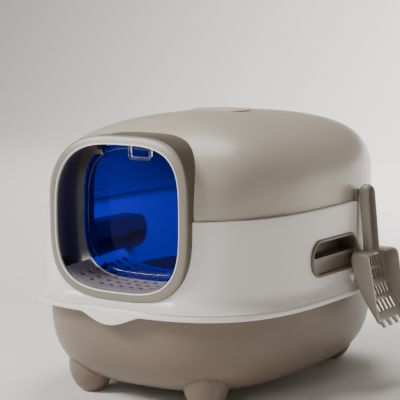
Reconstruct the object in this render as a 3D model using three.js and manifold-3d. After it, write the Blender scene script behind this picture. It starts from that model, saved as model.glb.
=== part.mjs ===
// Hooded cat litter box: tray on feet, white mid frame, domed hood with a gate and a swing door,
// filter vent on top, side grips and a scoop on its holder. Millimetres, +Z up, front towards -Y.
import * as THREE from "three";
import { mergeVertices } from "three/addons/utils/BufferGeometryUtils.js";
import Module from "manifold-3d";

const wasm = await Module();
wasm.setup();

// ---- driving dimensions ---------------------------------------------------
const GAP = 0.3;
const WALL = 3;
const AROUND = 40;
const GATE_AROUND = 32;

const FLANGE = { a: 205, b: 257, n: 3.14, low: 131, high: 138 };
const BAND = { a: 193, b: 246, n: 3.0, front: 237, flareTop: 160, top: 258 };
const LEDGE_A = 178.5;
const TONGUE = { x: -2, half: 47, reach: 3, drop: 13.5, thick: 2.4 };
const RIB = { front: 51.5, back: 57, low: 139, high: 158.5, face: 197 };

const TRAY = { low: 13, rimLow: 131.3, rimTop: 134.4, baseA: 55, baseB: 102, topA: 194, topB: 241, n: 2.79 };
const TRAY_BOWL = 3.11;
const FOOT = { x: 94, front: -172, rear: 184, top: 62, waist: 38, half: 31.5, sole: 10 };

const HOOD = { low: 258.3, high: 385, a: 185.4, b: 245.5, front: 237, slope: 0.31 };
const SPIGOT = { out: 176.5, wide: 2.5, low: 250 };

const GATE = { half: 98, tall: 96, n: 3.27, z: 255 };
const GATE_FACE = -244;
const GATE_EDGE = -240;
const LEAN = { from: 265, reach: 98, back: 14.5 };
const COLLAR = { half: 110, tall: 108, back: -158, wall: 2.8 };
const TUNNEL = { half: 104, tall: 101, back: -150 };

const DOOR = { y: -182, half: 97, tall: 91.5, z: 257.5, taper: 1.2, rim: 9.5, rimThick: 6, panelThick: 2.6 };
const PIVOT = { z: 342.5, pinRadius: 2, pinIn: 57, pinOut: 71.5, bossIn: 64, bossOut: 72 };
const HANGER = { half: 19, leg: 4.8, low: 327, high: 350, thick: 3, round: 5 };

const STEP = { front: -237.6, back: -104, low: 161, rise: 7, half: 100.2, edge: 86, thick: 2.4 };
const HOLE = { radius: 4, pitch: 16, firstRow: -218, rows: 7, columns: 10 };

const GRIP = { y: 0.5, z: 192, long: 133, tall: 51.5, round: 24, deep: 27, wall: 2.6 };
const VENT = { y: 14, hole: 36.5, cup: 36.2, flange: 40, cap: 42, floor: 368.6, seat: 381.4 };

const RECESS = { x: 182.5, low: 150, front: 70, back: 114 };
const SCOOP_Y = 86;
const SCOOP_EDGE = 245.5;

// ---- solids ---------------------------------------------------------------
function solidFrom(points, faces) {
  let volume = 0;
  for (const [i, j, k] of faces) {
    const [a, b, c] = [points[i], points[j], points[k]];
    volume += a[0] * (b[1] * c[2] - b[2] * c[1]);
    volume -= a[1] * (b[0] * c[2] - b[2] * c[0]);
    volume += a[2] * (b[0] * c[1] - b[1] * c[0]);
  }
  const turned = volume < 0 ? faces.map(([i, j, k]) => [i, k, j]) : faces;
  const mesh = new wasm.Mesh({
    numProp: 3,
    vertProperties: new Float32Array(points.flat()),
    triVerts: new Uint32Array(turned.flat()),
  });
  return new wasm.Manifold(mesh);
}

function solidOf(geometry) {
  const plain = new THREE.BufferGeometry();
  const source = geometry.index ? geometry.toNonIndexed() : geometry;
  plain.setAttribute("position", source.getAttribute("position").clone());
  const merged = mergeVertices(plain, 1e-3);
  const mesh = new wasm.Mesh({
    numProp: 3,
    vertProperties: new Float32Array(merged.attributes.position.array),
    triVerts: new Uint32Array(merged.index.array),
  });
  return new wasm.Manifold(mesh);
}

function box(x0, x1, y0, y1, z0, z1) {
  const geometry = new THREE.BoxGeometry(x1 - x0, y1 - y0, z1 - z0);
  geometry.translate((x0 + x1) / 2, (y0 + y1) / 2, (z0 + z1) / 2);
  return solidOf(geometry);
}

// A cylinder along X, Y or Z between two positions on that axis.
function rod(axis, radius, from, to, centre, sides = 16) {
  const geometry = new THREE.CylinderGeometry(radius, radius, to - from, sides);
  if (axis === "x") geometry.rotateZ(-Math.PI / 2);
  if (axis === "z") geometry.rotateX(Math.PI / 2);
  const middle = (from + to) / 2;
  const place = { x: [middle, centre[0], centre[1]], y: [centre[0], middle, centre[1]] };
  place.z = [centre[0], centre[1], middle];
  geometry.translate(...place[axis]);
  return solidOf(geometry);
}

// A tube of equal rings. Open lofts are capped at both ends; a looped loft joins its last ring to its first.
function loft(rings, looped = false) {
  const count = rings[0].length;
  const points = rings.flat();
  const faces = [];
  const spans = looped ? rings.length : rings.length - 1;
  for (let i = 0; i < spans; i++) {
    const next = (i + 1) % rings.length;
    for (let k = 0; k < count; k++) {
      const far = (k + 1) % count;
      faces.push([i * count + k, i * count + far, next * count + far]);
      faces.push([i * count + k, next * count + far, next * count + k]);
    }
  }
  if (!looped) {
    for (const [index, sense] of [[0, -1], [rings.length - 1, 1]]) {
      const ends = rings[index];
      const middle = [0, 1, 2].map((axis) => ends.reduce((sum, p) => sum + p[axis], 0) / count);
      const centre = points.push(middle) - 1;
      for (let k = 0; k < count; k++) {
        const a = index * count + k;
        const b = index * count + ((k + 1) % count);
        faces.push(sense > 0 ? [centre, a, b] : [centre, b, a]);
      }
    }
  }
  return solidFrom(points, faces);
}

// A closed slab between two equal grids of points.
function slab(top, bottom) {
  const rows = top.length;
  const columns = top[0].length;
  const points = [...top.flat(), ...bottom.flat()];
  const under = rows * columns;
  const faces = [];
  const quad = (a, b, c, d) => faces.push([a, b, c], [a, c, d]);
  const at = (i, j) => i * columns + j;
  for (let i = 0; i < rows - 1; i++) {
    for (let j = 0; j < columns - 1; j++) {
      quad(at(i, j), at(i, j + 1), at(i + 1, j + 1), at(i + 1, j));
      quad(under + at(i, j), under + at(i + 1, j), under + at(i + 1, j + 1), under + at(i, j + 1));
    }
    quad(at(i, 0), at(i + 1, 0), under + at(i + 1, 0), under + at(i, 0));
    const j = columns - 1;
    quad(at(i + 1, j), at(i, j), under + at(i, j), under + at(i + 1, j));
  }
  for (let j = 0; j < columns - 1; j++) {
    quad(at(0, j + 1), at(0, j), under + at(0, j), under + at(0, j + 1));
    const i = rows - 1;
    quad(at(i, j), at(i, j + 1), under + at(i, j + 1), under + at(i, j));
  }
  return solidFrom(points, faces);
}

// ---- sections -------------------------------------------------------------
const bend = (value, power) => Math.sign(value) * Math.abs(value) ** power;
const mix = (a, b, t) => a + (b - a) * t;

// A level superellipse ring; its front can be cut flat at y = -front.
function level(a, b, n, z, front = 1e6) {
  return Array.from({ length: AROUND }, (_, k) => {
    const angle = (2 * Math.PI * k) / AROUND;
    const x = a * bend(Math.cos(angle), 2 / n);
    const y = b * bend(Math.sin(angle), 2 / n);
    return [x, Math.max(y, -front), z];
  });
}

// An upright superellipse ring across the gate's axis.
function gate(half, tall, y, z = GATE.z) {
  return Array.from({ length: GATE_AROUND }, (_, k) => {
    const angle = (2 * Math.PI * k) / GATE_AROUND;
    return [half * bend(Math.cos(angle), 2 / GATE.n), y, z + tall * bend(Math.sin(angle), 2 / GATE.n)];
  });
}

// A gate ring that leans back towards its top.
function leaning(half, tall, y) {
  return gate(half, tall, y).map(([x, at, z]) => {
    return [x, at + LEAN.back * (Math.max(0, z - LEAN.from) / LEAN.reach) ** 2, z];
  });
}

// The swing door's outline, a little wider at its foot than at its head.
function doorRing(inset, y) {
  const { half, tall, z, taper } = DOOR;
  return gate(half - inset, tall - inset, y, z).map(([x, at, high]) => {
    return [x * (1 - (taper / half) * ((high - z) / tall)), at, high];
  });
}

const PLAIN_EDGE = { bevelEnabled: false, curveSegments: 5 };

// A shape drawn in Y and Z, extruded along X.
function alongX(shape, from, to) {
  const geometry = new THREE.ExtrudeGeometry(shape, { depth: to - from, ...PLAIN_EDGE });
  geometry.applyMatrix4(new THREE.Matrix4().set(0, 0, 1, from, 1, 0, 0, 0, 0, 1, 0, 0, 0, 0, 0, 1));
  return solidOf(geometry);
}

// A shape drawn in X and Z, extruded along Y.
function alongY(shape, from, to) {
  const geometry = new THREE.ExtrudeGeometry(shape, { depth: to - from, ...PLAIN_EDGE });
  geometry.applyMatrix4(new THREE.Matrix4().set(1, 0, 0, 0, 0, 0, -1, to, 0, 1, 0, 0, 0, 0, 0, 1));
  return solidOf(geometry);
}

function outline(corners) {
  return new THREE.Shape(corners.map(([u, v]) => new THREE.Vector2(u, v)));
}

function roundedOutline(u0, u1, v0, v1, radius) {
  const shape = new THREE.Shape();
  shape.moveTo(u0 + radius, v0);
  shape.absarc(u1 - radius, v0 + radius, radius, -Math.PI / 2, 0);
  shape.absarc(u1 - radius, v1 - radius, radius, 0, Math.PI / 2);
  shape.absarc(u0 + radius, v1 - radius, radius, Math.PI / 2, Math.PI);
  shape.absarc(u0 + radius, v0 + radius, radius, Math.PI, 1.5 * Math.PI);
  return shape;
}

const mirrored = (solid) => solid.mirror([1, 0, 0]);

// ---- lower tray and its feet ------------------------------------------------
// The bowl's wall rounds out of its flat base and ends upright under the rim.
function bowl(inset, top) {
  const rings = [];
  for (const turn of [0, 0.02, 0.07, 0.16, 0.3, 0.5, 0.75, 1]) {
    const out = (1 - (1 - turn) ** TRAY_BOWL) ** (1 / TRAY_BOWL);
    const a = mix(TRAY.baseA, TRAY.topA, out) - inset;
    const b = mix(TRAY.baseB, TRAY.topB, out) - inset;
    rings.push(level(a, b, TRAY.n, mix(TRAY.low + inset, top, turn)));
  }
  return loft(rings);
}

function trayRim() {
  const { rimLow, rimTop, topA, topB, n } = TRAY;
  const inner = [topA - WALL, topB - WALL];
  const outer = [FLANGE.a - 5, FLANGE.b - 5];
  const rings = [
    level(...inner, n, rimLow),
    level(...outer, FLANGE.n, rimLow),
    level(...outer, FLANGE.n, rimTop),
    level(...inner, n, rimTop),
  ];
  return loft(rings, true);
}

const trayOuter = bowl(0, TRAY.rimTop);
const lowerTray = trayOuter.add(trayRim()).subtract(bowl(WALL, TRAY.rimTop + 1));

// Each foot is a rounded bulb, cut to the bowl it stands under.
function foot(x, y) {
  const rings = [0, 0.025, 0.08, 0.17, 0.3, 0.45, 0.62, 0.8, 1].map((rise) => {
    const z = FOOT.top * rise;
    const swell = (1 - Math.max(0, 1 - z / FOOT.waist) ** 1.7) ** 0.6;
    const taper = 6 * (Math.max(0, z - FOOT.waist) / (FOOT.top - FOOT.waist)) ** 2;
    const half = mix(FOOT.sole, FOOT.half, swell) - taper;
    return Array.from({ length: 20 }, (_, k) => {
      const angle = (Math.PI * k) / 10;
      return [x + half * bend(Math.cos(angle), 0.92), y + half * bend(Math.sin(angle), 0.92), z];
    });
  });
  return loft(rings).subtract(bowl(-GAP, TRAY.rimTop));
}

// ---- mid frame --------------------------------------------------------------
function frameOuter(grow) {
  const rings = [
    level(FLANGE.a + grow, FLANGE.b + grow, FLANGE.n, FLANGE.low - grow),
    level(FLANGE.a + grow, FLANGE.b + grow, FLANGE.n, FLANGE.high),
  ];
  for (const turn of [0.08, 0.25, 0.55, 1]) {
    const flare = (1 - turn) ** 2.6;
    const a = mix(BAND.a, FLANGE.a, flare) + grow;
    const b = mix(BAND.b, FLANGE.b, flare) + grow;
    const front = mix(BAND.front, FLANGE.b, flare) + grow;
    const z = mix(FLANGE.high, BAND.flareTop, turn);
    rings.push(level(a, b, mix(BAND.n, FLANGE.n, flare), z, front));
  }
  rings.push(level(BAND.a + grow, BAND.b + grow, BAND.n, BAND.top - 1.2, BAND.front + grow));
  rings.push(level(BAND.a - 1 + grow, BAND.b - 1 + grow, BAND.n, BAND.top + grow, BAND.front + grow));
  return loft(rings);
}

// The pull tongue: an apron that hangs from the flange's front edge in a rounded lobe.
function tongue() {
  const outer = [];
  const inner = [];
  for (let i = 0; i <= 14; i++) {
    const side = i / 7 - 1;
    const x = TONGUE.x + TONGUE.half * side;
    const lobe = Math.cos((Math.PI * side) / 2) ** 1.3;
    const edge = -FLANGE.b * (1 - (Math.abs(x) / FLANGE.a) ** FLANGE.n) ** (1 / FLANGE.n) - 0.4;
    const front = [];
    const back = [];
    for (let j = 0; j <= 4; j++) {
      const y = edge - TONGUE.reach * lobe * (j / 4) ** 1.4;
      const z = mix(FLANGE.high - 2.6, FLANGE.low + 0.4 - TONGUE.drop * lobe, j / 4);
      front.push([x, y, z]);
      back.push([x, y + TONGUE.thick, z]);
    }
    outer.push(front);
    inner.push(back);
  }
  return slab(outer, inner);
}

function gatePlug(grow) {
  const rings = [-262, -140].map((y) => gate(COLLAR.half + grow, COLLAR.tall + grow, y));
  return loft(rings);
}

function gripPlug(grow, from, to) {
  const u = GRIP.long / 2 + grow;
  const v = GRIP.tall / 2 + grow;
  return alongX(roundedOutline(GRIP.y - u, GRIP.y + u, GRIP.z - v, GRIP.z + v, GRIP.round + grow), from, to);
}

function recess(grow) {
  const back = RECESS.back + grow;
  return box(RECESS.x - grow, 215, RECESS.front - grow, back, RECESS.low - grow, BAND.top + 4);
}

function midFrame() {
  const full = frameOuter(0);
  const skirt = [FLANGE.low - 1, FLANGE.low + 3.8].map((z) => {
    return level(FLANGE.a - 2.7, FLANGE.b - 2.7, FLANGE.n, z);
  });
  const room = [FLANGE.low + 3, BAND.top - WALL].map((z) => {
    return level(BAND.a - WALL, BAND.b - WALL, BAND.n, z, BAND.front - WALL);
  });
  const mouth = [BAND.top - WALL - 1, BAND.top + 1].map((z) => level(LEDGE_A, LEDGE_A + 60.5, BAND.n, z));
  const hollow = loft(skirt).add(loft(room)).add(loft(mouth));
  const pocket = box(
    RECESS.x - WALL, 200, RECESS.front - WALL, RECESS.back + WALL, RECESS.low - WALL, BAND.top + 1,
  ).intersect(full);
  const hole = gripPlug(-0.9, 180, 200);
  const ribOutline = roundedOutline(RIB.front, RIB.back, RIB.low, RIB.high, 2.7);
  const rib = alongX(ribOutline, BAND.a - WALL + 1, RIB.face);
  return full
    .subtract(hollow)
    .add(pocket)
    .add(rib)
    .add(tongue())
    .subtract(recess(0))
    .subtract(gatePlug(GAP))
    .subtract(hole)
    .subtract(mirrored(hole));
}

// ---- side grips ---------------------------------------------------------------
function grip() {
  const inset = -1.3 - GRIP.wall;
  const bezel = gripPlug(0, BAND.a + GAP, BAND.a + 2.6);
  const body = gripPlug(-1.3, BAND.a - GRIP.deep, BAND.a + 1);
  const pocket = gripPlug(inset, BAND.a - GRIP.deep + GRIP.wall, BAND.a + 6);
  const panel = box(150, BAND.a - 1.5, -90, 90, 150, GRIP.z + GRIP.wall - 2);
  const room = gripPlug(inset, 150, BAND.a - 4.5).intersect(box(150, 200, -90, 90, 150, GRIP.z - 2));
  return bezel.add(body).subtract(pocket.subtract(panel)).subtract(room);
}

// ---- hood -----------------------------------------------------------------------
// Level rings of the dome: its front slopes back further than its rear.
function dome(inset) {
  const rings = [];
  for (const rise of [0, 0.2, 0.4, 0.56, 0.7, 0.8, 0.88, 0.94, 0.975, 0.992, 0.998]) {
    const a = HOOD.a * (1 - rise ** 3.03) ** (1 / 1.81) - inset;
    const rear = HOOD.b * (1 - rise ** 7.68) ** (1 / 1.54) - inset;
    const front = HOOD.b * (1 - rise ** 2) ** HOOD.slope - inset;
    const z = inset && !rise ? HOOD.low - 1 : mix(HOOD.low, HOOD.high - inset, rise);
    rings.push(level(a, 1, mix(2.97, 3.77, rise), z).map(([x, y, high]) => {
      return [x, Math.max(y * (y < 0 ? front : rear), inset - HOOD.front), high];
    }));
  }
  return loft(rings);
}

function hood() {
  const long = HOOD.b - HOOD.a;
  const inner = SPIGOT.out - SPIGOT.wide;
  const n = 2.97;
  const centre = [0, VENT.y];
  const foot = HOOD.a - 1;
  const corners = [
    [inner, SPIGOT.low],
    [SPIGOT.out, SPIGOT.low],
    [SPIGOT.out, HOOD.low],
    [foot, HOOD.low],
    [foot, HOOD.low + 2.6],
    [inner, HOOD.low + 2.6],
  ];
  const base = loft(corners.map(([a, z]) => level(a, a + long, n, z, HOOD.front - 1)), true);
  return dome(0)
    .subtract(dome(WALL))
    .add(base)
    .add(rod("z", VENT.cap + 3, VENT.seat - 2.8, VENT.seat, centre, 40))
    .subtract(gatePlug(GAP))
    .subtract(rod("z", VENT.cap + 0.6, VENT.seat, 395, centre, 40))
    .subtract(rod("z", VENT.hole, 360, 395, centre, 40));
}

// ---- gate ring, collar and tunnel --------------------------------------------------
function portalFrame() {
  const collarIn = [COLLAR.half - COLLAR.wall, COLLAR.tall - COLLAR.wall];
  const tunnelOut = [collarIn[0] + 0.4, collarIn[1] + 0.4];
  const face = loft([
    leaning(GATE.half, GATE.tall, GATE_FACE + 6),
    leaning(GATE.half, GATE.tall, GATE_FACE + 0.8),
    leaning(GATE.half + 1, GATE.tall + 1, GATE_FACE),
    leaning(mix(GATE.half, COLLAR.half, 0.55), mix(GATE.tall, COLLAR.tall, 0.55), GATE_FACE + 0.9),
    leaning(COLLAR.half - 1, COLLAR.tall - 1, GATE_EDGE - 0.6),
    leaning(COLLAR.half, COLLAR.tall, GATE_EDGE + 0.6),
    leaning(COLLAR.half, COLLAR.tall, GATE_EDGE + 3),
  ], true);
  const collar = loft([
    leaning(...collarIn, GATE_EDGE + 1),
    leaning(COLLAR.half, COLLAR.tall, GATE_EDGE + 1),
    gate(COLLAR.half, COLLAR.tall, COLLAR.back),
    gate(...collarIn, COLLAR.back),
  ], true);
  const tunnel = loft([
    leaning(TUNNEL.half, TUNNEL.tall, GATE_EDGE + 1),
    leaning(...tunnelOut, GATE_EDGE + 1),
    gate(...tunnelOut, TUNNEL.back),
    gate(TUNNEL.half, TUNNEL.tall, TUNNEL.back),
  ], true);
  const boss = box(PIVOT.bossIn, PIVOT.bossOut, DOOR.y - 5, DOOR.y + 5, PIVOT.z - 5, PIVOT.z + 6);
  const bore = rod("x", PIVOT.pinRadius + GAP, PIVOT.bossIn - 1, PIVOT.bossOut + 1, [DOOR.y, PIVOT.z], 12);
  const hanger = boss.subtract(bore);
  return face.add(collar).add(tunnel).add(hanger).add(mirrored(hanger));
}

function stepPlate() {
  const top = [];
  const bottom = [];
  const limit = Math.acos((STEP.edge / STEP.half) ** (GATE.n / 2));
  for (let i = 0; i <= 3; i++) {
    const along = i / 3;
    const y = mix(STEP.front, STEP.back, along);
    const z = GATE.z + STEP.rise * along;
    const upper = [];
    const lower = [];
    for (let j = 0; j <= 16; j++) {
      const angle = mix(-Math.PI + limit, -limit, j / 16);
      const c = bend(Math.cos(angle), 2 / GATE.n);
      const s = bend(Math.sin(angle), 2 / GATE.n);
      const tall = GATE.z - STEP.low;
      upper.push([STEP.half * c, y, z + tall * s]);
      lower.push([(STEP.half + STEP.thick) * c, y, z + (tall + STEP.thick) * s]);
    }
    top.push(upper);
    bottom.push(lower);
  }
  const drills = [];
  for (let row = 0; row < HOLE.rows; row++) {
    for (let column = 0; column < HOLE.columns; column++) {
      const x = (column - (HOLE.columns - 1) / 2) * HOLE.pitch;
      const y = HOLE.firstRow + row * HOLE.pitch;
      drills.push(rod("z", HOLE.radius, 150, 200, [x, y], 6));
    }
  }
  return slab(top, bottom).subtract(wasm.Manifold.union(drills));
}

// ---- swing door ------------------------------------------------------------------------
function flapDoor() {
  const { rim, rimThick, panelThick, y } = DOOR;
  const frame = loft([
    doorRing(rim, y - rimThick / 2),
    doorRing(0, y - rimThick / 2),
    doorRing(0, y + rimThick / 2),
    doorRing(rim, y + rimThick / 2),
  ], true);
  const panel = loft([y - panelThick / 2, y + panelThick / 2].map((at) => doorRing(2, at)));
  const lug = box(PIVOT.pinIn - 1, PIVOT.bossIn - 1, y - 4.5, y + 4.5, PIVOT.z - 10, PIVOT.z + 4.5);
  const lugs = lug.add(mirrored(lug));
  const bore = rod("x", PIVOT.pinRadius + 0.5, -PIVOT.bossOut, PIVOT.bossOut, [y, PIVOT.z], 12);
  const ends = box(PIVOT.pinIn - 2, 80, y - 6, y + 6, PIVOT.z - 20, PIVOT.z + 20);
  const keep = box(-PIVOT.pinIn + 2, PIVOT.pinIn - 2, y - 6, y + 6, PIVOT.z - 5, PIVOT.z + 5);
  const clearance = box(PIVOT.bossIn - 1, 80, y - 7, y + 7, PIVOT.z - 11, PIVOT.z + 12);
  return frame
    .add(panel)
    .subtract(clearance.add(mirrored(clearance)))
    .add(lugs)
    .subtract(bore.subtract(keep).intersect(ends.add(mirrored(ends))));
}

function doorHanger() {
  const { half, leg, low, high, thick, round } = HANGER;
  const front = DOOR.y - DOOR.rimThick / 2 - GAP;
  const bar = alongY(roundedOutline(-half, half, low, high + 10, round), front - thick, front);
  const inside = roundedOutline(-half + leg, half - leg, low + leg, high + 20, round - 2);
  return bar
    .subtract(alongY(inside, front - thick - 1, front + 1))
    .subtract(box(-30, 30, front - 5, front + 2, high, high + 20));
}

// ---- filter vent -------------------------------------------------------------------------
function lathe(corners, sides) {
  const points = corners.map(([r, z]) => new THREE.Vector2(r, z));
  const geometry = new THREE.LatheGeometry([...points, points[0]], sides);
  geometry.rotateX(Math.PI / 2);
  geometry.translate(0, VENT.y, 0);
  const plain = geometry.toNonIndexed();
  const bare = new THREE.BufferGeometry().setAttribute("position", plain.attributes.position);
  const merged = mergeVertices(bare, 1e-3);
  const p = merged.attributes.position;
  const list = Array.from({ length: p.count }, (_, i) => [p.getX(i), p.getY(i), p.getZ(i)]);
  const faces = [];
  for (let i = 0; i < merged.index.count; i += 3) {
    const face = [0, 1, 2].map((k) => merged.index.getX(i + k));
    if (new Set(face).size === 3) faces.push(face);
  }
  return solidFrom(list, faces);
}

function filterCup() {
  const { cup, flange, floor, seat } = VENT;
  const body = lathe([
    [0, floor], [cup, floor], [cup, seat + 0.3], [flange, seat + 0.3], [flange, seat + 1.1],
    [cup - 2, seat + 1.1], [cup - 2, floor + 2], [0, floor + 2],
  ], 32);
  const slots = [];
  for (let i = -2; i <= 2; i++) {
    const half = Math.sqrt(28 ** 2 - (11 * i) ** 2);
    slots.push(box(11 * i - 2.6, 11 * i + 2.6, VENT.y - half, VENT.y + half, floor - 1, floor + 3));
  }
  return body.subtract(wasm.Manifold.union(slots));
}

function ventCap() {
  const low = VENT.seat + 1.4;
  return lathe([
    [0, low], [30.5, low], [30.5, low - 3.6], [33, low - 3.6], [33, low], [VENT.cap, low],
    [VENT.cap, low + 0.8], [VENT.cap - 1.6, low + 1.5], [0, low + 2.6],
  ], 40);
}

const carbonFilter = () => rod("z", VENT.cup - 2.6, VENT.floor + 2.3, VENT.floor + 8.5, [0, VENT.y], 32);

// ---- scoop and its holder -----------------------------------------------------------------
const BASKET = { neckX: 197, reach: 51.2, steep: 1.69, neckZ: 184, tipZ: 86, halfNeck: 48.5, halfTip: 43.5 };
const RIM = [
  [SCOOP_EDGE, BASKET.tipZ],
  [241.5, 95],
  [226.5, 178],
  [223.5, 185.7],
  [217, 188.6],
  [197, 188.6],
];
const SLOT_ROWS = [
  { low: 163, high: 178, count: 9, pitch: 8.4, wide: 4.2 },
  { low: 145, high: 159, count: 9, pitch: 8.4, wide: 4.4 },
  { low: 124, high: 139.5, count: 8, pitch: 9.4, wide: 5 },
  { low: 104, high: 119.5, count: 6, pitch: 11.8, wide: 7 },
];

// The basket's floor seen from the side: upright at the neck, leaning out towards the tip.
function floorX(z) {
  return BASKET.neckX + BASKET.reach * (Math.max(0, BASKET.neckZ - z) / 104) ** BASKET.steep;
}

function floorLine(inset, low) {
  const heights = [0, 1, 2, 3, 4, 5, 6, 7, 8].map((i) => mix(BASKET.neckZ, low, i / 8));
  return heights.map((z) => [floorX(z) + inset, z]);
}

// The basket seen from outside, a little narrower at its tip.
function basketPlan(inset, low) {
  const top = 188.61 - inset;
  const wide = (z) => mix(BASKET.halfTip, BASKET.halfNeck, (z - BASKET.tipZ) / 98) - inset;
  return alongX(outline([
    [SCOOP_Y - wide(low), low], [SCOOP_Y + wide(low), low],
    [SCOOP_Y + wide(top - 7), top - 7], [SCOOP_Y + wide(top) - 7, top],
    [SCOOP_Y - wide(top) + 7, top], [SCOOP_Y - wide(top - 7), top - 7],
  ]), 180, 270);
}

function scoop() {
  const shell = alongY(outline([...floorLine(0, BASKET.tipZ), ...RIM]), 0, 180).intersect(basketPlan(0, 70));
  const far = [[300, 60], [300, 220], [BASKET.neckX + 2.6, 220]];
  const cavity = alongY(outline([...floorLine(2.6, 70), ...far]), 0, 180).intersect(basketPlan(2.4, 60));
  const cuts = [];
  for (const { low, high, count, pitch, wide } of SLOT_ROWS) {
    for (let i = 0; i < count; i++) {
      const y = SCOOP_Y + (i - (count - 1) / 2) * pitch;
      cuts.push(box(185, 240, y - wide / 2, y + wide / 2, low, high));
    }
  }
  for (const step of [-2, -1, 0, 1, 2]) {
    const y = SCOOP_Y + step * 20;
    cuts.push(alongX(outline([[y - 8, 80], [y + 8, 80], [y + 3.4, 95], [y - 3.4, 95]]), 225, 262));
  }
  const base = (z) => 188.5 + ((281 - z) / 94) * 9.5;
  const stem = [[base(281), 277], [base(187), 181], [base(187) + 18, 181], [base(281) + 18, 277]];
  const crown = [[base(281) + 14, 281], [base(281) + 4, 281]];
  const handle = alongY(outline([...stem, ...crown]), SCOOP_Y - 13.5, SCOOP_Y + 13.5);
  const groove = outline([
    [base(281) + 2.6, 278], [base(187) + 2.6, 179], [260, 179], [260, 278],
  ]);
  const channel = alongY(groove, SCOOP_Y - 11, SCOOP_Y + 11);
  const hang = rod("x", 4.6, 180, 200, [SCOOP_Y, 268], 16);
  return shell
    .subtract(wasm.Manifold.union(cuts))
    .add(handle)
    .subtract(channel)
    .subtract(cavity)
    .subtract(hang);
}

function scoopHolder() {
  const slope = [141, 149, 157, 165, 174].map((z) => [floorX(z) - 0.5, z]);
  const wedge = alongY(outline([[184.6, 141], ...slope, [184.6, 174]]), RIB.back + 3, 118);
  const plate = box(184.6, 187, SCOOP_Y - 12, SCOOP_Y + 13, RECESS.low + 1, 274);
  const peg = rod("x", 3.4, 186.5, 200, [SCOOP_Y, 268], 14);
  const body = frameOuter(GAP).subtract(recess(-GAP));
  return wedge.subtract(body).subtract(gripPlug(0.8, 180, 230)).add(plate).add(peg);
}

// ---- assembly -------------------------------------------------------------------------------
const PAINT = {
  taupe: { color: 0xb8aa9a, roughness: 0.42, metalness: 0 },
  tray: { color: 0x9c8c7b, roughness: 0.45, metalness: 0 },
  white: { color: 0xf1efec, roughness: 0.38, metalness: 0 },
  dark: { color: 0x65574a, roughness: 0.5, metalness: 0 },
  blue: { color: 0x0a2aa8, roughness: 0.12, metalness: 0 },
  clear: { color: 0xdfe6ee, roughness: 0.08, metalness: 0 },
  cream: { color: 0xd9cfc0, roughness: 0.4, metalness: 0 },
  carbon: { color: 0x1d1d1f, roughness: 0.95, metalness: 0 },
  steel: { color: 0xb4b6b8, roughness: 0.3, metalness: 1 },
};

const group = new THREE.Group();

// The origin is the middle of the whole object's footprint, scoop and tongue included.
const TIP = FLANGE.b + 0.4 + TONGUE.reach;
const MIDDLE = [(SCOOP_EDGE - FLANGE.a) / 2, (FLANGE.b - TIP) / 2, 0];

function place(name, solid, paint) {
  const mesh = solid.translate([-MIDDLE[0], -MIDDLE[1], -MIDDLE[2]]).getMesh();
  const width = mesh.numProp;
  const positions = new Float32Array(mesh.numVert * 3);
  for (let i = 0; i < mesh.numVert; i++) {
    positions.set(mesh.vertProperties.subarray(i * width, i * width + 3), i * 3);
  }
  const geometry = new THREE.BufferGeometry();
  geometry.setAttribute("position", new THREE.BufferAttribute(positions, 3));
  geometry.setIndex(new THREE.BufferAttribute(new Uint32Array(mesh.triVerts), 1));
  geometry.computeVertexNormals();
  const made = new THREE.Mesh(geometry, new THREE.MeshStandardMaterial(PAINT[paint]));
  made.name = name;
  group.add(made);
}

place("lower_tray", lowerTray, "tray");
for (const [end, y] of [["front", FOOT.front], ["rear", FOOT.rear]]) {
  place(`foot_${end}_left`, foot(-FOOT.x, y), "tray");
  place(`foot_${end}_right`, foot(FOOT.x, y), "tray");
}
place("mid_frame", midFrame(), "white");
place("grip_right", grip(), "dark");
place("grip_left", mirrored(grip()), "dark");
place("hood", hood(), "taupe");
place("portal_frame", portalFrame(), "taupe");
place("step_plate", stepPlate(), "taupe");
place("flap_door", flapDoor(), "blue");
place("door_hanger", doorHanger(), "clear");
const pin = rod("x", PIVOT.pinRadius, PIVOT.pinIn, PIVOT.pinOut, [DOOR.y, PIVOT.z], 12);
place("pivot_pin_right", pin, "steel");
place("pivot_pin_left", mirrored(pin), "steel");
place("filter_cup", filterCup(), "taupe");
place("carbon_filter", carbonFilter(), "carbon");
place("vent_cap", ventCap(), "cream");
place("scoop_holder", scoopHolder(), "taupe");
place("scoop", scoop(), "taupe");

export default group;
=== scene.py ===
"""Looks of the hooded cat litter box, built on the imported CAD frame. The shapes are given in millimetres
about the box's own middle, and spot() turns them into metres in the frame."""

import math

import bpy
import bmesh
import numpy as np
from mathutils import Matrix, Vector


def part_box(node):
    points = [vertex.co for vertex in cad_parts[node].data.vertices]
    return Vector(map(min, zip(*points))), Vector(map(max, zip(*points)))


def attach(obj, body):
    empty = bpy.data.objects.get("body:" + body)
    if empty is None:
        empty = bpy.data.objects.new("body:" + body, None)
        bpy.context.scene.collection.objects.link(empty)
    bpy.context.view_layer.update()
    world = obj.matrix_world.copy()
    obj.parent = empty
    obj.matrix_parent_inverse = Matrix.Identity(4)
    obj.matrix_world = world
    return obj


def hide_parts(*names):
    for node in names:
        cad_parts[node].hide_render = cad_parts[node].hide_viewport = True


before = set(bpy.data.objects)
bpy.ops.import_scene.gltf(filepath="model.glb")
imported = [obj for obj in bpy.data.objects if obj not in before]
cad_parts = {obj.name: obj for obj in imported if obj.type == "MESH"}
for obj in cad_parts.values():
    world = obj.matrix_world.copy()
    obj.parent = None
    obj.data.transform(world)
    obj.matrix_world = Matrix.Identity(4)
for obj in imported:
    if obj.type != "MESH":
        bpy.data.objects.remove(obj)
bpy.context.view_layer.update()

MM = 0.001
tray_low, tray_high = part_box("lower_tray")
MID_X = (tray_low.x + tray_high.x) / 2
MID_Y = (tray_low.y + tray_high.y) / 2
FRAME_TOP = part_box("mid_frame")[1].z / MM
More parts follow.
